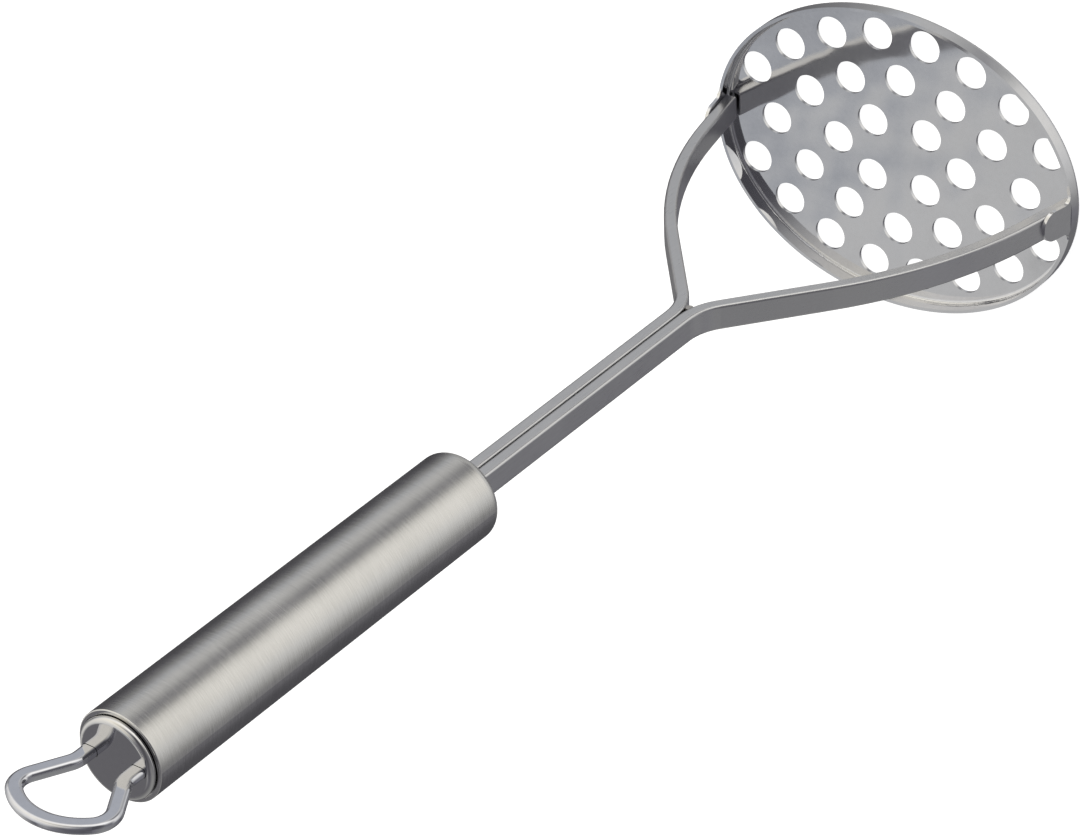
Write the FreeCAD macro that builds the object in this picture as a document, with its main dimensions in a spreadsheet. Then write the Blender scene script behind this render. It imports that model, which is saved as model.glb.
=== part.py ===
import FreeCAD, Part
import math
import os
import Sketcher
from FreeCAD import Placement, Rotation, Vector

# Potato masher. Millimetres. Z runs along the handle, from the plate up to the hanging loop.
# Z = 0 is the underside of the mashing plate; X is the long axis of the plate and the spread
# of the fork; Y is the width of the bars. The tool is symmetric about XZ and YZ.

doc = FreeCAD.newDocument("PotatoMasher")

# ---------------------------------------------------------------- sizes

SIZES = [
    # mashing plate
    ("plate_length", 95.2),
    ("plate_width", 74.8),
    ("plate_sheet", 0.8),
    ("plate_rim_height", 4.4),
    ("plate_edge_radius", 1.6),
    ("hole_diameter", 8.0),
    ("ear_width", 7.4),
    ("ear_height", 13.0),
    ("ear_corner_radius", 3.4),
    ("ear_flare_radius", 2.2),
    # fork made of two flat bars
    ("bar_thickness", 3.0),
    ("bar_width", 6.0),
    ("bar_edge_radius", 0.6),
    ("bar_gap", 0.3),
    ("fork_height", 90.8),
    ("fork_bend_radius", 14.0),
    ("fork_spread_extra", 11.635),
    ("fork_foot_relief", 16.165),
    ("fork_sweep_radius", 106.2),
    ("ear_root_cover", 0.02),
    ("foot_clearance", 0.9),
    ("foot_end_radius", 0.45),
    ("tang_length", 14.0),
    ("crotch_weld_radius", 0.9),
    ("crotch_weld_drop", 4.6),
    # handle
    ("handle_start", 168.0),
    ("handle_length", 106.4),
    ("handle_diameter", 20.0),
    ("handle_wall", 0.8),
    ("handle_front_radius", 2.5),
    ("handle_rear_radius", 0.25),
    ("mouth_lip", 0.5),
    ("front_disc_thickness", 2.0),
    ("bar_slot_clearance", 0.1),
    ("weld_size", 1.4),
    # end cap
    ("cap_proud", 1.6),
    ("cap_edge_radius", 1.1),
    ("cap_face_thickness", 1.2),
    ("cap_skirt_wall", 1.0),
    ("cap_skirt_depth", 9.0),
    ("cap_joint_width", 0.25),
    ("cap_joint_depth", 0.8),
    # hanging loop of flattened wire
    ("wire_width", 3.4),
    ("wire_thickness", 2.2),
    ("wire_edge_radius", 0.85),
    ("leg_skirt_gap", 0.6),
    ("loop_leg_straight", 2.6),
    ("loop_leg_depth", 3.4),
    ("loop_reach", 22.4),
    ("loop_flare_angle", 30.0),
    ("loop_flare_radius", 5.0),
    ("loop_corner_radius", 4.3),
    ("loop_bow_radius", 14.5),
    ("leg_hole_clearance", 0.1),
]

# Hole centres in one quarter of the plate, as fractions of its half length and half width.
HOLES = [
    ("inner_corner", 0.150, 0.191),
    ("inner_end", 0.346, 0.0),
    ("middle_side", 0.0, 0.515),
    ("middle_shoulder", 0.280, 0.440),
    ("middle_quarter", 0.512, 0.2615),
    ("middle_end", 0.702, 0.0),
    ("outer_side", 0.1315, 0.791),
    ("outer_shoulder", 0.3876, 0.708),
    ("outer_quarter", 0.6244, 0.545),
    ("outer_end", 0.8168, 0.3174),
]

# Sizes worked out from the ones above.
DERIVED = [
    ("plate_half_length", "plate_length / 2"),
    ("plate_half_width", "plate_width / 2"),
    ("dish_half_length", "plate_half_length - plate_sheet"),
    ("dish_half_width", "plate_half_width - plate_sheet"),
    ("dish_edge_radius", "plate_edge_radius - plate_sheet"),
    ("shank_offset", "(bar_gap + bar_thickness) / 2"),
    ("foot_height", "plate_sheet + foot_clearance"),
    # angle of the straight line from the crotch to a foot, and of the bar above and below it
    ("fork_lean", "atan(plate_half_length / fork_height) / 1 deg"),
    ("fork_spread_angle", "fork_lean + fork_spread_extra"),
    ("fork_foot_angle", "fork_lean - fork_foot_relief"),
    ("foot_slope", "tan(fork_foot_angle)"),
    ("foot_half_thickness", "bar_thickness / 2 / cos(fork_foot_angle)"),
    ("ear_thickness", "plate_sheet / cos(fork_foot_angle)"),
    ("ear_root_height", "plate_rim_height - plate_sheet"),
    ("ear_half_width", "ear_width / 2"),
    ("ear_strip_half", "ear_half_width + ear_flare_radius"),
    ("ear_strip_width", "2 * ear_strip_half"),
    ("ear_flare_top", "plate_rim_height + ear_flare_radius"),
    ("trim_half_length", "plate_half_length + plate_sheet"),
    ("trim_half_width", "plate_half_width + plate_sheet"),
    ("ear_root_lean", "(plate_rim_height - ear_root_height) * foot_slope"),
    # the feet stand in from the rim by as much as keeps the root of an ear inside it
    ("foot_inset", "ear_thickness - plate_sheet + ear_root_lean + ear_root_cover"),
    ("foot_at_rim", "dish_half_length - foot_inset - foot_half_thickness"),
    ("foot_face_at_rim", "foot_at_rim + foot_half_thickness"),
    ("foot_offset", "foot_at_rim + (plate_rim_height - foot_height) * foot_slope"),
    ("ear_inner_root", "foot_face_at_rim + ear_root_lean"),
    ("ear_inner_tip", "foot_face_at_rim + (plate_rim_height - ear_height) * foot_slope"),
    ("ear_outer_root", "ear_inner_root + ear_thickness"),
    ("ear_outer_tip", "ear_inner_tip + ear_thickness"),
    ("handle_end", "handle_start + handle_length"),
    ("handle_radius", "handle_diameter / 2"),
    ("bore_radius", "handle_radius - handle_wall"),
    ("bore_start", "handle_start + handle_wall"),
    ("bore_front_radius", "handle_front_radius - handle_wall"),
    ("mouth_radius", "handle_radius - handle_front_radius - mouth_lip"),
    ("disc_top", "bore_start + front_disc_thickness"),
    ("tang_top", "disc_top + tang_length"),
    ("slot_length", "2 * bar_thickness + bar_gap + 2 * bar_slot_clearance"),
    ("slot_width", "bar_width + 2 * bar_slot_clearance"),
    ("slot_corner_radius", "bar_edge_radius + bar_slot_clearance"),
    ("weld_length", "slot_length + 2 * weld_size"),
    ("weld_width", "slot_width + 2 * weld_size"),
    ("crotch_weld_length", "bar_width - 2 * bar_edge_radius"),
    ("crotch_weld_height", "fork_height - crotch_weld_drop"),
    ("cap_top", "handle_end + cap_proud"),
    ("cap_under", "cap_top - cap_face_thickness"),
    ("cap_joint_bottom", "handle_end - cap_joint_depth"),
    ("cap_bottom", "cap_top - cap_skirt_depth"),
    ("cap_face_radius", "bore_radius - cap_joint_width"),
    ("cap_inner_radius", "bore_radius - cap_skirt_wall"),
    ("leg_offset", "cap_inner_radius - leg_skirt_gap - wire_width / 2"),
    ("leg_bottom", "cap_under - loop_leg_depth"),
    ("leg_bend_height", "cap_top + loop_leg_straight"),
    ("loop_top", "cap_top + loop_reach - wire_width / 2"),
    ("leg_hole_width", "wire_width + 2 * leg_hole_clearance"),
    ("leg_hole_thickness", "wire_thickness + 2 * leg_hole_clearance"),
    ("leg_hole_radius", "wire_edge_radius + leg_hole_clearance"),
    ("leg_weld_width", "leg_hole_width + weld_size"),
    ("leg_weld_thickness", "leg_hole_thickness + 2 * weld_size"),
]

sheet = doc.addObject("Spreadsheet::Sheet", "Sizes")
row = 0


def add_size(alias, content):
    """Write one named cell."""
    global row
    row += 1
    sheet.set("A%d" % row, alias)
    sheet.set("B%d" % row, content)
    sheet.setAlias("B%d" % row, alias)


for alias, number in SIZES:
    add_size(alias, str(number))
for name, along, across in HOLES:
    add_size(name + "_along", str(along))
    add_size(name + "_across", str(across))
for alias, formula in DERIVED:
    add_size(alias, "=" + formula)
for name, along, across in HOLES:
    add_size(name + "_x", "=plate_half_length * %s_along" % name)
    add_size(name + "_y", "=plate_half_width * %s_across" % name)
doc.recompute()


def size(alias):
    """Value of a named cell; a leading minus sign turns it round, 0 stays 0."""
    if alias == 0:
        return 0.0
    if alias.startswith("-"):
        return -float(sheet.get(alias[1:]))
    return float(sheet.get(alias))


def formula(alias):
    """Expression that points at a named cell."""
    if alias.startswith("-"):
        return "-Sizes." + alias[1:]
    return "Sizes." + alias


# ---------------------------------------------------------------- helpers

def new_body(name):
    body = doc.addObject("PartDesign::Body", name)
    body.Label = name
    return body


def origin_plane(body, role):
    for feature in body.Origin.OriginFeatures:
        if feature.Role == role:
            return feature


def new_sketch(body, name, role, height=None):
    """Sketch on an origin plane of the body, lifted to a named height."""
    sketch = body.newObject("Sketcher::SketchObject", name)
    sketch.AttachmentSupport = [(origin_plane(body, role), "")]
    sketch.MapMode = "FlatFace"
    if height is not None:
        sketch.AttachmentOffset = Placement(Vector(0, 0, size(height)), Rotation())
        sketch.setExpression("AttachmentOffset.Base.z", formula(height))
    return sketch


def bind(sketch, kind, *where, to, scale=""):
    """Add a dimension and tie it to a named cell."""
    value = size(to)
    if kind == "Diameter" or kind == "Radius":
        value = abs(value)
    index = sketch.addConstraint(Sketcher.Constraint(kind, *where, value))
    sketch.setExpression("Constraints[%d]" % index, formula(to) + scale)


def place_point(sketch, geometry, position, x, y):
    """Fix a point of the sketch at two named coordinates."""
    if x == 0:
        sketch.addConstraint(Sketcher.Constraint("PointOnObject", geometry, position, -2))
    else:
        bind(sketch, "DistanceX", -1, 1, geometry, position, to=x)
    if y == 0:
        sketch.addConstraint(Sketcher.Constraint("PointOnObject", geometry, position, -1))
    else:
        bind(sketch, "DistanceY", -1, 1, geometry, position, to=y)


def polygon(sketch, corners):
    """Closed outline whose corners are pairs of named coordinates."""
    points = [Vector(size(x), size(y), 0) for x, y in corners]
    lines = []
    for index, start in enumerate(points):
        end = points[(index + 1) % len(points)]
        lines.append(sketch.addGeometry(Part.LineSegment(start, end), False))
    for index, line in enumerate(lines):
        following = lines[(index + 1) % len(lines)]
        sketch.addConstraint(Sketcher.Constraint("Coincident", line, 2, following, 1))
    for line, (x, y) in zip(lines, corners):
        place_point(sketch, line, 1, x, y)


def rounded_rectangle(sketch, length, width, radius, centre_x=0):
    """Rectangle with round corners, centred on a point of the sketch's X axis."""
    half_length = size(length) / 2
    half_width = size(width) / 2
    corner = size(radius)
    middle = size(centre_x)
    arcs = []
    for quarter, (sx, sy) in enumerate(((1, 1), (-1, 1), (-1, -1), (1, -1))):
        centre = Vector(middle + sx * (half_length - corner), sy * (half_width - corner), 0)
        circle = Part.Circle(centre, Vector(0, 0, 1), corner)
        arc = Part.ArcOfCircle(circle, quarter * math.pi / 2, (quarter + 1) * math.pi / 2)
        arcs.append(sketch.addGeometry(arc, False))
    sides = []
    for quarter, arc in enumerate(arcs):
        following = arcs[(quarter + 1) % 4]
        start = sketch.getPoint(arc, 2)
        end = sketch.getPoint(following, 1)
        side = sketch.addGeometry(Part.LineSegment(start, end), False)
        sketch.addConstraint(Sketcher.Constraint("Tangent", arc, 2, side, 1))
        sketch.addConstraint(Sketcher.Constraint("Tangent", side, 2, following, 1))
        sides.append(side)
    top, left, bottom, right = sides
    for side in (top, bottom):
        sketch.addConstraint(Sketcher.Constraint("Horizontal", side))
    for side in (left, right):
        sketch.addConstraint(Sketcher.Constraint("Vertical", side))
    for arc in arcs[1:]:
        sketch.addConstraint(Sketcher.Constraint("Equal", arcs[0], arc))
    bind(sketch, "Radius", arcs[0], to=radius)
    bind(sketch, "DistanceX", left, 1, right, 2, to=length)
    bind(sketch, "DistanceY", bottom, 1, top, 1, to=width)
    # the middle of the outline sits on the X axis at centre_x
    centre_point = sketch.addGeometry(Part.Point(Vector(middle, 0, 0)), True)
    sketch.addConstraint(Sketcher.Constraint("Symmetric", arcs[0], 3, arcs[2], 3, centre_point, 1))
    place_point(sketch, centre_point, 1, centre_x, 0)


def revolve(body, name, corners):
    """Solid of revolution about Z from an outline in the XZ plane."""
    sketch = new_sketch(body, name + "_outline", "XZ_Plane")
    polygon(sketch, corners)
    feature = body.newObject("PartDesign::Revolution", name)
    feature.Profile = sketch
    feature.ReferenceAxis = (sketch, ["V_Axis"])
    feature.Angle = 360
    doc.recompute()
    return feature


def fillet(body, name, base, radius, pick):
    """Round the edges of a feature whose description passes the pick test."""
    edges = []
    for index, edge in enumerate(base.Shape.Edges):
        if pick(edge):
            edges.append("Edge%d" % (index + 1))
    feature = body.newObject("PartDesign::Fillet", name)
    feature.Base = (base, edges)
    feature.Radius = size(radius)
    feature.setExpression("Radius", formula(radius))
    doc.recompute()
    return feature


def flat_at(edge, height):
    """True when the whole edge lies at one height."""
    box = edge.BoundBox
    return abs(box.ZMin - height) < 1e-4 and abs(box.ZMax - height) < 1e-4


def ring_at(radius, height):
    """Test for a circle about Z of a given radius at a given height."""
    def pick(edge):
        box = edge.BoundBox
        return flat_at(edge, height) and abs(box.XMax - radius) < 1e-3
    return pick


def sweep(body, name, profile, path):
    feature = body.newObject("PartDesign::AdditivePipe", name)
    feature.Profile = profile
    feature.Spine = (path, ["Edge%d" % (index + 1) for index in range(len(path.Shape.Edges))])
    doc.recompute()
    return feature


def cut_object(name, base, tools):
    """Base with the tools taken away, as one named object."""
    if len(tools) == 1:
        tool = tools[0]
    else:
        tool = doc.addObject("Part::MultiFuse", name + "_tools")
        tool.Shapes = tools
    result = doc.addObject("Part::Cut", name)
    result.Label = name
    result.Base = base
    result.Tool = tool
    doc.recompute()
    return result


# ---------------------------------------------------------------- mashing plate

def ellipse(sketch, half_length, half_width):
    """Ellipse about the origin with its long axis along X."""
    long_axis = size(half_length)
    short_axis = size(half_width)
    curve = Part.Ellipse(Vector(long_axis, 0, 0), Vector(0, short_axis, 0), Vector(0, 0, 0))
    geometry = sketch.addGeometry(curve, False)
    sketch.exposeInternalGeometry(geometry)
    major = geometry + 1
    minor = geometry + 2
    sketch.addConstraint(Sketcher.Constraint("Coincident", geometry, 3, -1, 1))
    sketch.addConstraint(Sketcher.Constraint("PointOnObject", major, 1, -1))
    bind(sketch, "Distance", major, to=half_length, scale=" * 2")
    bind(sketch, "Distance", minor, to=half_width, scale=" * 2")
    return geometry


def ear_sides(body):
    """Trim both strips to ears whose sides flare out hollow into the rim."""
    sketch = new_sketch(body, "ear_sides_outline", "YZ_Plane")
    radius = size("ear_flare_radius")
    for sign, first_angle in (("", math.pi), ("-", -math.pi / 2)):
        centre = Vector(size(sign + "ear_strip_half"), size("ear_flare_top"), 0)
        circle = Part.Circle(centre, Vector(0, 0, 1), radius)
        flare = sketch.addGeometry(
            Part.ArcOfCircle(circle, first_angle, first_angle + math.pi / 2), False)
        upper, lower = (1, 2) if sign == "" else (2, 1)
        half = size(sign + "ear_half_width")
        edge = size(sign + "ear_strip_half")
        top = size("ear_height")
        side = sketch.addGeometry(Part.LineSegment(
            Vector(half, size("ear_flare_top"), 0), Vector(half, top, 0)), False)
        across = sketch.addGeometry(Part.LineSegment(
            Vector(half, top, 0), Vector(edge, top, 0)), False)
        outer = sketch.addGeometry(Part.LineSegment(
            Vector(edge, top, 0), Vector(edge, size("plate_rim_height"), 0)), False)
        for first, end, second, start in (
            (flare, upper, side, 1), (side, 2, across, 1),
            (across, 2, outer, 1), (outer, 2, flare, lower),
        ):
            sketch.addConstraint(Sketcher.Constraint("Coincident", first, end, second, start))
        sketch.addConstraint(Sketcher.Constraint("Horizontal", flare, 3, flare, upper))
        sketch.addConstraint(Sketcher.Constraint("Vertical", flare, 3, flare, lower))
        place_point(sketch, flare, 3, sign + "ear_strip_half", "ear_flare_top")
        bind(sketch, "Radius", flare, to="ear_flare_radius")
        place_point(sketch, across, 1, sign + "ear_half_width", "ear_height")
        place_point(sketch, across, 2, sign + "ear_strip_half", "ear_height")
    cut = body.newObject("PartDesign::Pocket", "ear_sides")
    cut.Profile = sketch
    cut.Type = 1
    cut.Midplane = True
    doc.recompute()
    return cut


def make_plate():
    body = new_body("mashing_plate")
    outline = new_sketch(body, "plate_outline", "XY_Plane")
    ellipse(outline, "plate_half_length", "plate_half_width")
    blank = body.newObject("PartDesign::Pad", "plate_blank")
    blank.Profile = outline
    blank.Length = size("plate_rim_height")
    blank.setExpression("Length", formula("plate_rim_height"))
    doc.recompute()
    pressed = fillet(body, "plate_edge", blank, "plate_edge_radius", lambda edge: flat_at(edge, 0.0))

    inside = new_sketch(body, "dish_outline", "XY_Plane", "plate_sheet")
    ellipse(inside, "dish_half_length", "dish_half_width")
    dish = body.newObject("PartDesign::Pocket", "dish")
    dish.Profile = inside
    dish.Type = 1
    dish.Reversed = True
    doc.recompute()
    floor = size("plate_sheet")
    fillet(body, "dish_edge", dish, "dish_edge_radius", lambda edge: flat_at(edge, floor))

    # ears: strips that lean on the outer faces of the fork's feet
    for side, sign in (("left", "-"), ("right", "")):
        strip = new_sketch(body, "ear_profile_" + side, "XZ_Plane")
        polygon(strip, [
            (sign + "ear_inner_root", "ear_root_height"),
            (sign + "ear_outer_root", "ear_root_height"),
            (sign + "ear_outer_tip", "ear_height"),
            (sign + "ear_inner_tip", "ear_height"),
        ])
        ear = body.newObject("PartDesign::Pad", "ear_" + side)
        ear.Profile = strip
        ear.Length = size("ear_strip_width")
        ear.setExpression("Length", formula("ear_strip_width"))
        ear.Midplane = True
        doc.recompute()

    # nothing stands out past the wall of the rim
    trim = new_sketch(body, "rim_trim", "XY_Plane")
    ellipse(trim, "plate_half_length", "plate_half_width")
    ellipse(trim, "trim_half_length", "trim_half_width")
    trimmed = body.newObject("PartDesign::Pocket", "trimmed_rim")
    trimmed.Profile = trim
    trimmed.Type = 1
    trimmed.Reversed = True
    doc.recompute()

    shaped = ear_sides(body)
    tip_height = size("ear_height")

    def ear_corner(edge):
        box = edge.BoundBox
        at_tip = flat_at(edge, tip_height)
        across = abs(box.YMax - box.YMin) < 1e-4
        return at_tip and across

    fillet(body, "ear_corners", shaped, "ear_corner_radius", ear_corner)

    circles = new_sketch(body, "hole_circles", "XY_Plane")
    first = None
    for name, along, across in HOLES:
        x_signs = ("", "-") if along else ("",)
        y_signs = ("", "-") if across else ("",)
        for x_sign in x_signs:
            for y_sign in y_signs:
                x = x_sign + name + "_x" if along else 0
                y = y_sign + name + "_y" if across else 0
                centre = Vector(size(x), size(y), 0)
                circle = Part.Circle(centre, Vector(0, 0, 1), size("hole_diameter") / 2)
                geometry = circles.addGeometry(circle, False)
                place_point(circles, geometry, 3, x, y)
                if first is None:
                    first = geometry
                    bind(circles, "Diameter", geometry, to="hole_diameter")
                else:
                    circles.addConstraint(Sketcher.Constraint("Equal", first, geometry))
    holes = body.newObject("PartDesign::Pocket", "mashing_holes")
    holes.Profile = circles
    holes.Type = 1
    holes.Midplane = True
    doc.recompute()
    return body


# ---------------------------------------------------------------- fork

def fork_path(body, name, side):
    """Centre line of one bar: shank, bend outwards, straight, long sweep back, foot."""
    sign = 1 if side == "right" else -1
    prefix = "" if side == "right" else "-"
    spread = math.radians(size("fork_spread_angle"))
    foot = math.radians(size("fork_foot_angle"))
    bend = size("fork_bend_radius")
    sweep_radius = size("fork_sweep_radius")
    shank = size("shank_offset")

    # lengths of the two straight stretches that close the line on the foot
    along = size("foot_offset") - shank - bend * (1 - math.cos(spread))
    along -= sweep_radius * (math.cos(foot) - math.cos(spread))
    down = size("fork_height") - size("foot_height") - bend * math.sin(spread)
    down -= sweep_radius * (math.sin(spread) - math.sin(foot))
    divisor = math.sin(spread) * math.cos(foot) - math.sin(foot) * math.cos(spread)
    upper_straight = (along * math.cos(foot) - down * math.sin(foot)) / divisor

    start = (shank, size("tang_top"))
    bend_start = (shank, size("fork_height"))
    bend_centre = (shank + bend, bend_start[1])
    bend_end = (bend_centre[0] - bend * math.cos(spread), bend_centre[1] - bend * math.sin(spread))
    sweep_start = (
        bend_end[0] + upper_straight * math.sin(spread),
        bend_end[1] - upper_straight * math.cos(spread),
    )
    sweep_centre = (
        sweep_start[0] - sweep_radius * math.cos(spread),
        sweep_start[1] - sweep_radius * math.sin(spread),
    )
    sweep_end = (
        sweep_centre[0] + sweep_radius * math.cos(foot),
        sweep_centre[1] + sweep_radius * math.sin(foot),
    )
    end = (size("foot_offset"), size("foot_height"))

    def point(pair):
        return Vector(sign * pair[0], pair[1], 0)

    def arc(centre, radius, from_angle, to_angle):
        circle = Part.Circle(point(centre), Vector(0, 0, 1), radius)
        return Part.ArcOfCircle(circle, from_angle, to_angle)

    sketch = new_sketch(body, name, "XZ_Plane")
    shank_line = sketch.addGeometry(Part.LineSegment(point(start), point(bend_start)), False)
    if sign > 0:
        first_arc = arc(bend_centre, bend, math.pi, math.pi + spread)
        second_arc = arc(sweep_centre, sweep_radius, foot, spread)
    else:
        first_arc = arc(bend_centre, bend, -spread, 0)
        second_arc = arc(sweep_centre, sweep_radius, math.pi - spread, math.pi - foot)
    bend_arc = sketch.addGeometry(first_arc, False)
    upper_line = sketch.addGeometry(Part.LineSegment(point(bend_end), point(sweep_start)), False)
    sweep_arc = sketch.addGeometry(second_arc, False)
    foot_line = sketch.addGeometry(Part.LineSegment(point(sweep_end), point(end)), False)

    # arcs run anticlockwise, so which end comes first depends on the side
    bend_in, bend_out = (1, 2) if sign > 0 else (2, 1)
    sweep_in, sweep_out = (2, 1) if sign > 0 else (1, 2)
    sketch.addConstraint(Sketcher.Constraint("Vertical", shank_line))
    sketch.addConstraint(Sketcher.Constraint("Tangent", shank_line, 2, bend_arc, bend_in))
    sketch.addConstraint(Sketcher.Constraint("Tangent", bend_arc, bend_out, upper_line, 1))
    sketch.addConstraint(Sketcher.Constraint("Tangent", upper_line, 2, sweep_arc, sweep_in))
    sketch.addConstraint(Sketcher.Constraint("Tangent", sweep_arc, sweep_out, foot_line, 1))
    place_point(sketch, shank_line, 1, prefix + "shank_offset", "tang_top")
    bind(sketch, "DistanceY", -1, 1, shank_line, 2, to="fork_height")
    bind(sketch, "Radius", bend_arc, to="fork_bend_radius")
    bind(sketch, "Radius", sweep_arc, to="fork_sweep_radius")
    for line, alias in ((upper_line, "fork_spread_angle"), (foot_line, "fork_foot_angle")):
        lean = math.radians(size(alias))
        index = sketch.addConstraint(Sketcher.Constraint("Angle", line, -math.pi / 2 + sign * lean))
        operation = "+" if sign > 0 else "-"
        sketch.setExpression("Constraints[%d]" % index, "(-90 %s Sizes.%s) * 1deg" % (operation, alias))
    place_point(sketch, foot_line, 2, prefix + "foot_offset", "foot_height")
    return sketch


def make_bar(side, plate):
    """One flat bar of the fork, its foot trimmed where it meets the rim of the plate."""
    body = new_body("bar_sweep_" + side)
    path = fork_path(body, "bar_path_" + side, side)
    profile = new_sketch(body, "bar_section_" + side, "XY_Plane", "tang_top")
    middle = "shank_offset" if side == "right" else "-shank_offset"
    rounded_rectangle(profile, "bar_thickness", "bar_width", "bar_edge_radius", middle)
    doc.recompute()
    bar = sweep(body, "bar_" + side, profile, path)
    top_of_end = size("foot_height") + size("foot_half_thickness") * size("foot_slope")
    fillet(body, "foot_end_" + side, bar, "foot_end_radius",
           lambda edge: edge.BoundBox.ZMax < top_of_end + 0.05)
    return cut_object("fork_bar_" + side, body, [plate])


def make_crotch_weld(bars):
    """Weld across the V where the bars part."""
    bead = doc.addObject("Part::Cylinder", "crotch_bead")
    bead.setExpression("Radius", formula("crotch_weld_radius"))
    bead.setExpression("Height", formula("crotch_weld_length"))
    bead.Placement = Placement(Vector(0, 0, 0), Rotation(Vector(1, 0, 0), 90))
    bead.setExpression("Placement.Base.y", "Sizes.crotch_weld_length / 2")
    bead.setExpression("Placement.Base.z", formula("crotch_weld_height"))
    doc.recompute()
    return cut_object("fork_crotch_weld", bead, bars)


# ---------------------------------------------------------------- handle

def make_handle_tube():
    body = new_body("handle_tube")
    tube = revolve(body, "tube", [
        ("mouth_radius", "handle_start"),
        ("handle_radius", "handle_start"),
        ("handle_radius", "handle_end"),
        ("bore_radius", "handle_end"),
        ("bore_radius", "bore_start"),
        ("mouth_radius", "bore_start"),
    ])
    radius = size("handle_radius")
    front = fillet(body, "tube_front", tube, "handle_front_radius", ring_at(radius, size("handle_start")))
    bore = ring_at(size("bore_radius"), size("bore_start"))
    inner = fillet(body, "tube_front_inside", front, "bore_front_radius", bore)
    fillet(body, "tube_rear", inner, "handle_rear_radius", ring_at(radius, size("handle_end")))
    return body


def make_front_disc():
    """Disc inside the front of the tube, slotted for the two bars."""
    body = new_body("handle_front_disc")
    disc = revolve(body, "disc", [
        (0, "bore_start"),
        ("bore_radius", "bore_start"),
        ("bore_radius", "disc_top"),
        (0, "disc_top"),
    ])
    rim = ring_at(size("bore_radius"), size("bore_start"))
    fillet(body, "disc_rim", disc, "bore_front_radius", rim)
    slot = new_sketch(body, "bar_slot_outline", "XY_Plane", "disc_top")
    rounded_rectangle(slot, "slot_length", "slot_width", "slot_corner_radius")
    opening = body.newObject("PartDesign::Pocket", "bar_slot")
    opening.Profile = slot
    opening.Type = 1
    doc.recompute()
    return body


def bead_block(name, length, width, centre_x, bottom, wide_end):
    """Weld bead: a block that narrows away from the face it is laid on."""
    block = doc.addObject("Part::Wedge", name)
    shrink = "Sizes.weld_size * 0.7"
    # the wedge's own Y axis becomes Z of the tool
    block.setExpression("Ymin", "0")
    block.setExpression("Ymax", formula("weld_size"))
    reach = {"bottom": ("", " - " + shrink), "top": (" - " + shrink, "")}[wide_end]
    block.setExpression("Xmin", "-(Sizes.%s / 2%s)" % (length, reach[0]))
    block.setExpression("Xmax", "Sizes.%s / 2%s" % (length, reach[0]))
    block.setExpression("Zmin", "-(Sizes.%s / 2%s)" % (width, reach[0]))
    block.setExpression("Zmax", "Sizes.%s / 2%s" % (width, reach[0]))
    block.setExpression("X2min", "-(Sizes.%s / 2%s)" % (length, reach[1]))
    block.setExpression("X2max", "Sizes.%s / 2%s" % (length, reach[1]))
    block.setExpression("Z2min", "-(Sizes.%s / 2%s)" % (width, reach[1]))
    block.setExpression("Z2max", "Sizes.%s / 2%s" % (width, reach[1]))
    block.Placement = Placement(Vector(0, 0, 0), Rotation(Vector(1, 0, 0), 90))
    if centre_x != 0:
        block.setExpression("Placement.Base.x", formula(centre_x))
    block.setExpression("Placement.Base.z", bottom)
    doc.recompute()
    return block


def make_shank_weld(bars):
    bead = bead_block("shank_bead", "weld_length", "weld_width", 0, formula("disc_top"), "bottom")
    return cut_object("shank_weld", bead, bars)


# ---------------------------------------------------------------- end cap and hanging loop

def make_end_cap():
    """Pressed cap: a face that stands proud of the tube and a skirt inside the bore."""
    body = new_body("handle_end_cap")
    cap = revolve(body, "cap", [
        (0, "cap_under"),
        ("cap_inner_radius", "cap_under"),
        ("cap_inner_radius", "cap_bottom"),
        ("bore_radius", "cap_bottom"),
        ("bore_radius", "cap_joint_bottom"),
        ("cap_face_radius", "cap_joint_bottom"),
        ("cap_face_radius", "cap_top"),
        (0, "cap_top"),
    ])
    edge = ring_at(size("cap_face_radius"), size("cap_top"))
    fillet(body, "cap_edge", cap, "cap_edge_radius", edge)
    outlines = new_sketch(body, "leg_hole_outlines", "XY_Plane", "cap_top")
    for centre in ("-leg_offset", "leg_offset"):
        rounded_rectangle(outlines, "leg_hole_width", "leg_hole_thickness", "leg_hole_radius", centre)
    holes = body.newObject("PartDesign::Pocket", "leg_holes")
    holes.Profile = outlines
    holes.Type = 1
    doc.recompute()
    return body


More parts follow.
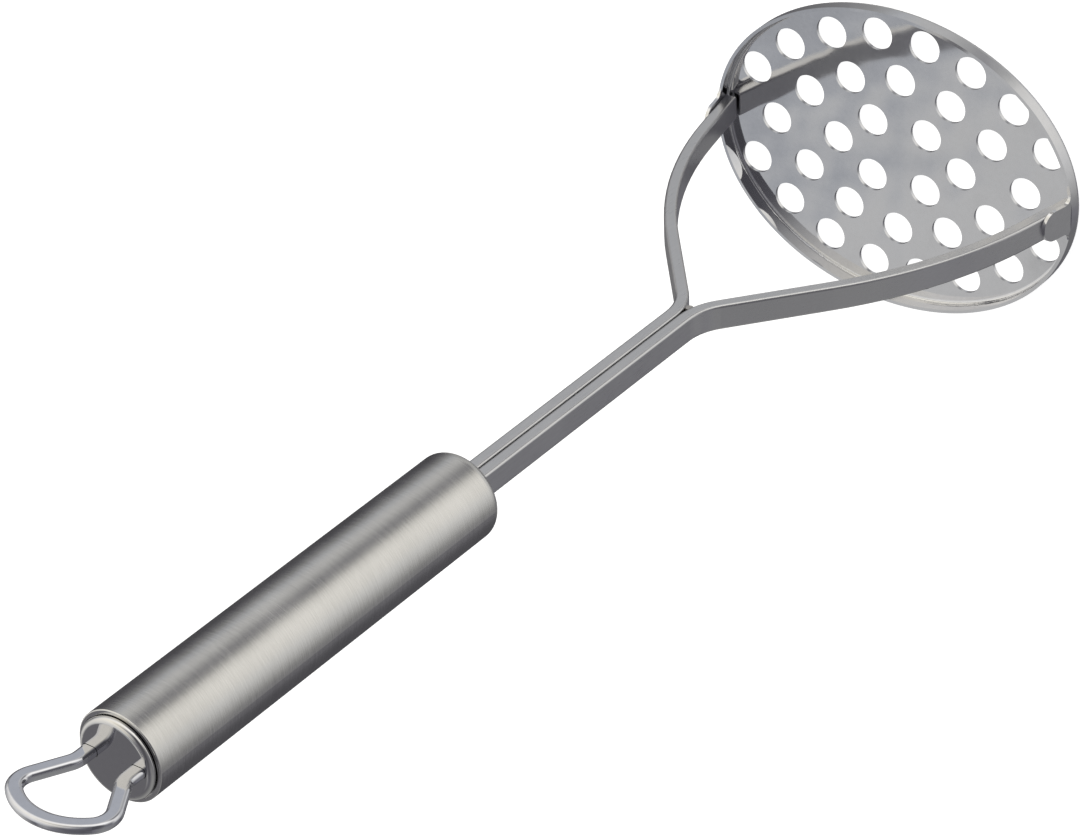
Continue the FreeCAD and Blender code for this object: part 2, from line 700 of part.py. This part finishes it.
def loop_path(body):
    """Centre line of the right half of the loop, from the end of its leg to the top of the bow."""
    flare = math.radians(size("loop_flare_angle"))
    turn = size("loop_flare_radius")
    corner = size("loop_corner_radius")
    bow = size("loop_bow_radius")
    leg = size("leg_offset")
    start = Vector(leg, size("leg_bottom"), 0)
    turn_start = Vector(leg, size("leg_bend_height"), 0)
    turn_centre = turn_start + Vector(turn, 0, 0)
    turn_end = turn_centre + Vector(-turn * math.cos(flare), turn * math.sin(flare), 0)
    ahead = Vector(math.sin(flare), math.cos(flare), 0)
    inward = Vector(-math.cos(flare), math.sin(flare), 0)
    bow_centre = Vector(0, size("loop_top") - bow, 0)

    # centre of the corner: one corner radius inside the flare line, bow - corner from the bow centre
    base = turn_end + inward * corner - bow_centre
    half_b = base.dot(ahead)
    constant = base.dot(base) - (bow - corner) ** 2
    flare_length = -half_b + math.sqrt(half_b * half_b - constant)
    corner_start = turn_end + ahead * flare_length
    corner_centre = corner_start + inward * corner
    towards = corner_centre - bow_centre
    bow_angle = math.atan2(towards.y, towards.x)

    sketch = new_sketch(body, "loop_path", "XZ_Plane")
    up = Vector(0, 0, 1)
    leg_line = sketch.addGeometry(Part.LineSegment(start, turn_start), False)
    turn_circle = Part.Circle(turn_centre, up, turn)
    turn_arc = sketch.addGeometry(Part.ArcOfCircle(turn_circle, math.pi - flare, math.pi), False)
    flare_line = sketch.addGeometry(Part.LineSegment(turn_end, corner_start), False)
    corner_circle = Part.Circle(corner_centre, up, corner)
    corner_arc = sketch.addGeometry(Part.ArcOfCircle(corner_circle, -flare, bow_angle), False)
    bow_circle = Part.Circle(bow_centre, up, bow)
    bow_arc = sketch.addGeometry(Part.ArcOfCircle(bow_circle, bow_angle, math.pi / 2), False)
    sketch.addConstraint(Sketcher.Constraint("Vertical", leg_line))
    sketch.addConstraint(Sketcher.Constraint("Tangent", leg_line, 2, turn_arc, 2))
    sketch.addConstraint(Sketcher.Constraint("Tangent", turn_arc, 1, flare_line, 1))
    sketch.addConstraint(Sketcher.Constraint("Tangent", flare_line, 2, corner_arc, 1))
    sketch.addConstraint(Sketcher.Constraint("Tangent", corner_arc, 2, bow_arc, 1))
    place_point(sketch, leg_line, 1, "leg_offset", "leg_bottom")
    bind(sketch, "DistanceY", -1, 1, leg_line, 2, to="leg_bend_height")
    bind(sketch, "Radius", turn_arc, to="loop_flare_radius")
    bind(sketch, "Radius", corner_arc, to="loop_corner_radius")
    bind(sketch, "Radius", bow_arc, to="loop_bow_radius")
    angle = sketch.addConstraint(Sketcher.Constraint("Angle", flare_line, math.pi / 2 - flare))
    sketch.setExpression("Constraints[%d]" % angle, "(90 - Sizes.loop_flare_angle) * 1deg")
    sketch.addConstraint(Sketcher.Constraint("PointOnObject", bow_arc, 3, -2))
    place_point(sketch, bow_arc, 2, 0, "loop_top")
    return sketch


def make_hanging_loop():
    body = new_body("hanging_loop")
    path = loop_path(body)
    profile = new_sketch(body, "wire_section", "XY_Plane", "leg_bottom")
    rounded_rectangle(profile, "wire_width", "wire_thickness", "wire_edge_radius", "leg_offset")
    doc.recompute()
    half = sweep(body, "loop_half", profile, path)
    whole = body.newObject("PartDesign::Mirrored", "loop_mirrored")
    whole.Originals = [half]
    whole.MirrorPlane = (origin_plane(body, "YZ_Plane"), [""])
    body.Tip = whole
    doc.recompute()
    return body


def make_loop_weld(side, loop, cap):
    centre = "leg_offset" if side == "right" else "-leg_offset"
    under_cap = "Sizes.cap_under - Sizes.weld_size"
    name = "leg_bead_" + side
    bead = bead_block(name, "leg_weld_width", "leg_weld_thickness", centre, under_cap, "top")
    return cut_object("loop_weld_" + side, bead, [loop, cap])


# ---------------------------------------------------------------- build and write

plate = make_plate()
left_bar = make_bar("left", plate)
right_bar = make_bar("right", plate)
loop = make_hanging_loop()
end_cap = make_end_cap()
NODES = {
    "mashing_plate": plate,
    "fork_bar_left": left_bar,
    "fork_bar_right": right_bar,
    "fork_crotch_weld": make_crotch_weld([left_bar, right_bar]),
    "handle_tube": make_handle_tube(),
    "handle_front_disc": make_front_disc(),
    "shank_weld": make_shank_weld([left_bar, right_bar]),
    "handle_end_cap": end_cap,
    "hanging_loop": loop,
    "loop_weld_left": make_loop_weld("left", loop, end_cap),
    "loop_weld_right": make_loop_weld("right", loop, end_cap),
}
doc.recompute()

for item in doc.Objects:
    if "Invalid" in item.State or "Error" in item.State:
        raise RuntimeError("%s did not rebuild: %s" % (item.Name, item.State))

os.makedirs("parts", exist_ok=True)
for name, item in NODES.items():
    shape = item.Shape
    if shape.isNull() or not shape.isValid():
        raise RuntimeError("%s has no valid shape" % name)
    if len(shape.Solids) != 1:
        raise RuntimeError("%s should be one solid, not %d" % (name, len(shape.Solids)))
    shape.Solids[0].exportStep("parts/%s.step" % name)
    print("%s volume %.1f mm3, faces %d" % (name, shape.Volume, len(shape.Faces)))
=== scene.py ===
"""Looks for the potato masher: procedural steel finishes, studio light and the camera.

Every CAD node keeps its own mesh and gets a finish of its own.
Lengths are in metres, in the row frame: +Z runs up the shank and handle.
"""

import math

import bpy
from mathutils import Matrix, Vector


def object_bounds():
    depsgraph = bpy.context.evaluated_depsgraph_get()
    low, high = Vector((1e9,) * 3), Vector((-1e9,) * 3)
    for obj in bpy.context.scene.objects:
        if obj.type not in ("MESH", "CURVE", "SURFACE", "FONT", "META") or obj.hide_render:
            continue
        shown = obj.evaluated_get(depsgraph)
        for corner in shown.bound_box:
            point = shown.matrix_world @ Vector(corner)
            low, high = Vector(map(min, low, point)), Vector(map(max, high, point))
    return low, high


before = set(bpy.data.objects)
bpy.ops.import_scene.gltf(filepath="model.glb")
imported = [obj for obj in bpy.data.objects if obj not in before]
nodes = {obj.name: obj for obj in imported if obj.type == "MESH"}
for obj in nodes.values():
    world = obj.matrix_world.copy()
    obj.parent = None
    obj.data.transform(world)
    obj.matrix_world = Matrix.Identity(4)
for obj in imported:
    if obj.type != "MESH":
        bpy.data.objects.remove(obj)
cad_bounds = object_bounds()
scene = bpy.context.scene


NOISE_RANGE = (0.3, 0.7)     # where nearly all of a noise's values lie
TINT_RANGE = (0.32, 0.68)    # noise values that get the dark and the light tone
FINE_SHARE = 0.6             # of the tone that follows the grain; the rest follows the clouding
END_NORMAL = (0.7, 0.9)      # |normal z| at which a surface starts and ends turning into an end face


# ---------------------------------------------------------------- node helpers

def new_material(name):
    """Empty node material with a metallic Principled shader. Returns (material, tree, shader)."""
    material = bpy.data.materials.new(name)
    material.use_nodes = True
    tree = material.node_tree
    tree.nodes.clear()
    output = tree.nodes.new("ShaderNodeOutputMaterial")
    shader = tree.nodes.new("ShaderNodeBsdfPrincipled")
    shader.inputs["Metallic"].default_value = 1.0
    tree.links.new(shader.outputs["BSDF"], output.inputs["Surface"])
    return material, tree, shader


def math_node(tree, operation, *values, clamp=False):
    """Math node. Each value is a number or an output socket. Returns its output."""
    node = tree.nodes.new("ShaderNodeMath")
    node.operation = operation
    node.use_clamp = clamp
    for slot, value in zip(node.inputs, values):
        if isinstance(value, (int, float)):
            slot.default_value = value
        else:
            tree.links.new(value, slot)
    return node.outputs[0]


def stretched_noise(tree, scale_xyz, detail=4.0, roughness=0.55, distortion=0.0):
    """Noise over the object's own coordinates, with its own number of cells a metre along each axis."""
    coordinates = tree.nodes.new("ShaderNodeTexCoord")
    mapping = tree.nodes.new("ShaderNodeMapping")
    mapping.inputs["Scale"].default_value = scale_xyz
    noise = tree.nodes.new("ShaderNodeTexNoise")
    noise.inputs["Scale"].default_value = 1.0
    noise.inputs["Detail"].default_value = detail
    noise.inputs["Roughness"].default_value = roughness
    noise.inputs["Distortion"].default_value = distortion
    tree.links.new(coordinates.outputs["Object"], mapping.inputs["Vector"])
    tree.links.new(mapping.outputs["Vector"], noise.inputs["Vector"])
    return noise.outputs["Fac"]


def spread(tree, value, low, high):
    """Maps the usual range of a noise to low..high."""
    node = tree.nodes.new("ShaderNodeMapRange")
    node.inputs["From Min"].default_value = NOISE_RANGE[0]
    node.inputs["From Max"].default_value = NOISE_RANGE[1]
    node.inputs["To Min"].default_value = low
    node.inputs["To Max"].default_value = high
    tree.links.new(value, node.inputs["Value"])
    return node.outputs["Result"]


def tint(tree, value, dark, light):
    """Colour between dark and light, by a noise value."""
    ramp = tree.nodes.new("ShaderNodeValToRGB")
    ramp.color_ramp.elements[0].position = TINT_RANGE[0]
    ramp.color_ramp.elements[1].position = TINT_RANGE[1]
    ramp.color_ramp.elements[0].color = (*dark, 1.0)
    ramp.color_ramp.elements[1].color = (*light, 1.0)
    tree.links.new(value, ramp.inputs["Fac"])
    return ramp.outputs["Color"]


def bump(tree, height, depth, strength=1.0, below=None):
    """Bump of the given depth in metres, laid over another bump if one is given."""
    node = tree.nodes.new("ShaderNodeBump")
    node.inputs["Strength"].default_value = strength
    node.inputs["Distance"].default_value = depth
    tree.links.new(height, node.inputs["Height"])
    if below is not None:
        tree.links.new(below, node.inputs["Normal"])
    return node.outputs["Normal"]


def scaled(colour, factor):
    """The colour with each channel multiplied by the factor."""
    return tuple(channel * factor for channel in colour)


def facing_up(tree):
    """1 on the surfaces that face along Z, such as a tube's cut end, and 0 on its side."""
    geometry = tree.nodes.new("ShaderNodeNewGeometry")
    axes = tree.nodes.new("ShaderNodeSeparateXYZ")
    tree.links.new(geometry.outputs["Normal"], axes.inputs["Vector"])
    steepness = math_node(tree, "ABSOLUTE", axes.outputs["Z"])
    start, end = END_NORMAL
    slope = 1.0 / (end - start)
    return math_node(tree, "MULTIPLY_ADD", steepness, slope, -start * slope, clamp=True)


def steel(name, colour, grain, grain_depth, roughness, cloud=60.0, cloud_depth=0.0,
          contrast=0.05, anisotropic=0.0, radial=False, polished_ends=None):
    """Steel with a grain: fine stretched noise in height, roughness and tone, over soft clouding.

    grain is the number of cells a metre along x, y and z; cloud the same for the clouding.
    polished_ends is the roughness of the surfaces that face along Z, where that differs.
    """
    material, tree, shader = new_material(name)
    fine = stretched_noise(tree, grain, detail=3.0, roughness=0.6)
    clouds = stretched_noise(tree, (cloud, cloud, cloud), detail=2.0, roughness=0.5)
    mixed = math_node(tree, "ADD", math_node(tree, "MULTIPLY", fine, FINE_SHARE),
                      math_node(tree, "MULTIPLY", clouds, 1.0 - FINE_SHARE))
    tone = tint(tree, mixed, scaled(colour, 1.0 - contrast), scaled(colour, 1.0 + contrast))
    tree.links.new(tone, shader.inputs["Base Color"])
    matt = spread(tree, mixed, *roughness)
    if polished_ends is not None:
        ends = facing_up(tree)
        side = math_node(tree, "MULTIPLY", matt, math_node(tree, "SUBTRACT", 1.0, ends))
        matt = math_node(tree, "MULTIPLY_ADD", ends, polished_ends, side)
    tree.links.new(matt, shader.inputs["Roughness"])
    normal = bump(tree, fine, grain_depth)
    if cloud_depth:
        normal = bump(tree, clouds, cloud_depth, below=normal)
    tree.links.new(normal, shader.inputs["Normal"])
    shader.inputs["Anisotropic"].default_value = anisotropic
    if radial:
        tangent = tree.nodes.new("ShaderNodeTangent")
        tangent.direction_type = "RADIAL"
        tangent.axis = "Z"
        tree.links.new(tangent.outputs["Tangent"], shader.inputs["Tangent"])
    return material


# ---------------------------------------------------------------- finishes

FINISHES = {
    "handle": steel("brushed_round", (0.645, 0.637, 0.622), (260, 260, 5200), 0.000016,
                    (0.19, 0.28), contrast=0.11, anisotropic=0.5, radial=True,
                    polished_ends=0.10),
    "bar": steel("satin_bar", (0.65, 0.65, 0.66), (2600, 2600, 260), 0.000006,
                 (0.26, 0.34), contrast=0.05),
    "plate": steel("polished_plate", (0.66, 0.66, 0.675), (900, 900, 900), 0.0000006,
                   (0.06, 0.10), cloud=38.0, cloud_depth=0.0004, contrast=0.04),
    "cap": steel("mirror_cap", (0.64, 0.635, 0.63), (800, 800, 800), 0.0000003,
                 (0.03, 0.06), cloud=60.0, contrast=0.02),
    "loop": steel("polished_wire", (0.64, 0.645, 0.68), (900, 900, 900), 0.0000006,
                  (0.04, 0.08), cloud=120.0, cloud_depth=0.00003, contrast=0.04),
    "weld": steel("weld_bead", (0.50, 0.48, 0.46), (1500, 1500, 1500), 0.00004,
                  (0.30, 0.45), cloud=400.0, contrast=0.15),
    "inside": steel("mill_finish", (0.50, 0.50, 0.50), (900, 900, 900), 0.00001,
                    (0.35, 0.45), contrast=0.08),
}

NODE_FINISH = {
    "mashing_plate": "plate",
    "fork_bar_left": "bar",
    "fork_bar_right": "bar",
    "fork_crotch_weld": "weld",
    "handle_tube": "handle",
    "handle_front_disc": "inside",
    "shank_weld": "weld",
    "handle_end_cap": "cap",
    "hanging_loop": "loop",
    "loop_weld_left": "weld",
    "loop_weld_right": "weld",
}

for node, finish in NODE_FINISH.items():
    slots = nodes[node].data.materials
    slots.clear()
    slots.append(FINISHES[finish])


# ---------------------------------------------------------------- studio light

# Brightness round the studio, ring by ring: (elevation, [(azimuth, strength), ...]) in degrees.
# A third value, where there is one, is that stop's own hue. The strengths were measured: they
# come from the tones of the steel in the photograph, then were rounded and adjusted.
COOL = (0.975, 0.96, 1.065)
BLUISH = (0.96, 0.995, 1.06)
NEUTRAL = (1.0, 1.0, 0.99)
WARM = (1.02, 1.0, 0.95)
CREAM = (1.04, 1.0, 0.89)
COOL_UP_TO = 0.3
NEUTRAL_UP_TO = 0.9

BENCH = [
    (-180, 0.085), (-150, 0.08), (-80, 0.10), (-64, 0.12), (-48, 0.23), (-32, 0.31),
    (-14, 0.62), (4, 0.87), (22, 1.00), (44, 1.09), (60, 0.91), (73, 0.37), (86, 0.24),
    (99, 0.47), (110, 0.67), (122, 0.66), (133, 0.58, BLUISH), (146, 0.31), (162, 0.15),
    (180, 0.085),
]
RINGS = [
    (-56, [
        (-180, 0.45), (-150, 0.24), (-110, 0.22), (-75, 0.30), (-45, 0.22), (-30, 0.48),
        (-10, 0.64), (10, 0.74), (50, 0.80), (70, 0.67), (90, 0.52), (130, 0.54),
        (165, 0.46), (180, 0.45),
    ]),
    (-45, BENCH),
    (-30, BENCH),
    (-14, [
        (-180, 0.22), (-165, 0.30), (-148, 0.50), (-128, 0.45), (-105, 0.38), (-80, 0.34),
        (-50, 0.32), (-20, 0.24), (0, 0.23), (18, 0.34), (34, 0.65), (52, 1.20), (70, 1.50),
        (96, 1.45), (125, 1.15), (145, 1.10), (165, 0.55), (180, 0.22),
    ]),
    (-2, [
        (-180, 0.45), (-160, 0.60), (-140, 0.50), (-105, 0.36), (-80, 0.36), (-50, 0.34),
        (-20, 0.26), (5, 0.22), (24, 0.32), (42, 0.75), (60, 1.20), (80, 1.45), (120, 1.25),
        (145, 1.15), (165, 0.85), (180, 0.45),
    ]),
    (12, [
        (-180, 0.95), (-155, 0.90), (-130, 0.36), (-108, 0.30), (-80, 0.32), (-50, 0.34),
        (-20, 0.30), (5, 0.20), (22, 0.14), (60, 0.12), (78, 0.80), (100, 1.20, CREAM),
        (150, 1.20, CREAM), (180, 0.95),
    ]),
    (36, [
        (-180, 1.00), (-152, 0.75), (-135, 0.17), (-110, 0.17), (-90, 0.17), (-60, 0.20),
        (-30, 0.24), (-10, 0.12), (60, 0.10), (85, 0.25), (105, 0.60, CREAM),
        (133, 1.20, CREAM), (150, 1.10), (180, 1.00),
    ]),
    (46, [
        (-180, 0.95), (-152, 0.85), (-140, 0.40, BLUISH), (-136.5, 0.46, BLUISH),
        (-134.2, 0.52, BLUISH), (-133.2, 0.68), (-130.5, 0.67), (-124, 0.45), (-110, 0.26),
        (-90, 0.18), (-50, 0.12), (0, 0.10), (30, 0.13), (50, 0.16), (68, 0.50), (90, 0.90),
        (120, 1.15, CREAM), (150, 1.10), (180, 0.95),
    ]),
    (72, [
        (-180, 0.85), (-150, 0.70), (-115, 0.30), (-85, 0.16), (-50, 0.18), (0, 0.20),
        (40, 0.24), (65, 0.45), (90, 0.65, CREAM), (125, 0.85, CREAM), (180, 0.85),
    ]),
    (88, [(-180, 0.25), (180, 0.25)]),
]


def hue_of(strength):
    """Dim parts of the studio are cool and the brightest warm."""
    if strength < COOL_UP_TO:
        return COOL
    return NEUTRAL if strength < NEUTRAL_UP_TO else WARM


def light_ramp(tree, factor, ring):
    """Colour ramp round the studio for one elevation."""
    ramp = tree.nodes.new("ShaderNodeValToRGB")
    elements = ramp.color_ramp.elements
    while len(elements) > 1:
        elements.remove(elements[-1])
    for index, (azimuth, strength, *own_hue) in enumerate(ring):
        position = (azimuth + 180.0) / 360.0
        element = elements[0] if index == 0 else elements.new(position)
        element.position = position
        hue = own_hue[0] if own_hue else hue_of(strength)
        element.color = (*scaled(hue, strength), 1.0)
    tree.links.new(factor, ramp.inputs["Fac"])
    return ramp.outputs["Color"]


def colour_sockets(sockets):
    """Those of a Mix node's sockets that carry a colour."""
    return [socket for socket in sockets if socket.type == "RGBA"]


def fade(tree, elevation, below, above, from_degrees, to_degrees):
    """Goes from one colour to the other between two elevations."""
    step = tree.nodes.new("ShaderNodeMapRange")
    step.inputs["From Min"].default_value = math.radians(from_degrees)
    step.inputs["From Max"].default_value = math.radians(to_degrees)
    tree.links.new(elevation, step.inputs["Value"])
    mix = tree.nodes.new("ShaderNodeMix")
    mix.data_type = "RGBA"
    tree.links.new(step.outputs["Result"], mix.inputs[0])
    lower_socket, upper_socket = colour_sockets(mix.inputs)
    tree.links.new(below, lower_socket)
    tree.links.new(above, upper_socket)
    return colour_sockets(mix.outputs)[0]


def build_studio():
    """World that lights with the rings and shows plain white behind the object."""
    world = bpy.data.worlds.new("studio")
    scene.world = world
    world.use_nodes = True
    tree = world.node_tree
    tree.nodes.clear()
    output = tree.nodes.new("ShaderNodeOutputWorld")
    coordinates = tree.nodes.new("ShaderNodeTexCoord")
    axes = tree.nodes.new("ShaderNodeSeparateXYZ")
    tree.links.new(coordinates.outputs["Generated"], axes.inputs["Vector"])
    azimuth = math_node(tree, "ARCTAN2", axes.outputs["Y"], axes.outputs["X"])
    factor = math_node(tree, "ADD", math_node(tree, "DIVIDE", azimuth, 2.0 * math.pi), 0.5)
    elevation = math_node(tree, "ARCSINE", axes.outputs["Z"])
    height, ring = RINGS[0]
    around = light_ramp(tree, factor, ring)
    for next_height, ring in RINGS[1:]:
        above = light_ramp(tree, factor, ring)
        around = fade(tree, elevation, around, above, height, next_height)
        height = next_height
    lit = tree.nodes.new("ShaderNodeBackground")
    tree.links.new(around, lit.inputs["Color"])
    backdrop = tree.nodes.new("ShaderNodeBackground")
    backdrop.inputs["Color"].default_value = (1.0, 1.0, 1.0, 1.0)
    path = tree.nodes.new("ShaderNodeLightPath")
    seen = tree.nodes.new("ShaderNodeMixShader")
    tree.links.new(path.outputs["Is Camera Ray"], seen.inputs["Fac"])
    tree.links.new(lit.outputs["Background"], seen.inputs[1])
    tree.links.new(backdrop.outputs["Background"], seen.inputs[2])
    tree.links.new(seen.outputs["Shader"], output.inputs["Surface"])


FLOOR_HALF = 3.0
FLOOR_GAP = 0.0002           # below the object, so that the two flat faces don't flicker
FLOOR_TONE = 0.8
FLOOR_GLOW = 0.85


def build_floor():
    """Plain white floor that glows a little, as a studio light table does."""
    mesh = bpy.data.meshes.new("floor")
    half = FLOOR_HALF
    corners = [(-half, -half, 0), (half, -half, 0), (half, half, 0), (-half, half, 0)]
    mesh.from_pydata(corners, [], [(0, 1, 2, 3)])
    floor = bpy.data.objects.new("floor", mesh)
    floor.location.z = cad_bounds[0].z - FLOOR_GAP
    scene.collection.objects.link(floor)
    floor.visible_glossy = False
    material = bpy.data.materials.new("light_table")
    material.use_nodes = True
    shader = material.node_tree.nodes["Principled BSDF"]
    shader.inputs["Base Color"].default_value = (FLOOR_TONE, FLOOR_TONE, FLOOR_TONE, 1.0)
    shader.inputs["Roughness"].default_value = 1.0
    shader.inputs["Specular IOR Level"].default_value = 0.0
    shader.inputs["Emission Color"].default_value = (1.0, 1.0, 1.0, 1.0)
    shader.inputs["Emission Strength"].default_value = FLOOR_GLOW
    mesh.materials.append(material)


build_studio()
build_floor()


# ---------------------------------------------------------------- camera

# The camera's place, axes and lens come from a fit of the holes and the shank to the photograph.
CAMERA_PLACE = Vector((0.44143, 0.46923, 0.72556))
CAMERA_RIGHT = Vector((0.80939, -0.03120, -0.58644))
CAMERA_DOWN = Vector((0.29376, -0.84317, 0.45031))
CAMERA_AHEAD = Vector((-0.50851, -0.53675, -0.67329))
LENS_MM = 139.92
SENSOR_MM = 36.0
CLIP_NEAR = 0.05
CLIP_FAR = 20.0

camera_data = bpy.data.cameras.new("camera")
camera_data.sensor_width = SENSOR_MM
camera_data.lens = LENS_MM
camera_data.clip_start = CLIP_NEAR
camera_data.clip_end = CLIP_FAR
camera = bpy.data.objects.new("camera", camera_data)
scene.collection.objects.link(camera)
turn = Matrix((CAMERA_RIGHT, -CAMERA_DOWN, -CAMERA_AHEAD)).transposed()
camera.matrix_world = Matrix.Translation(CAMERA_PLACE) @ turn.to_4x4()
scene.camera = camera

scene.view_settings.view_transform = "Standard"
scene.view_settings.look = "None"
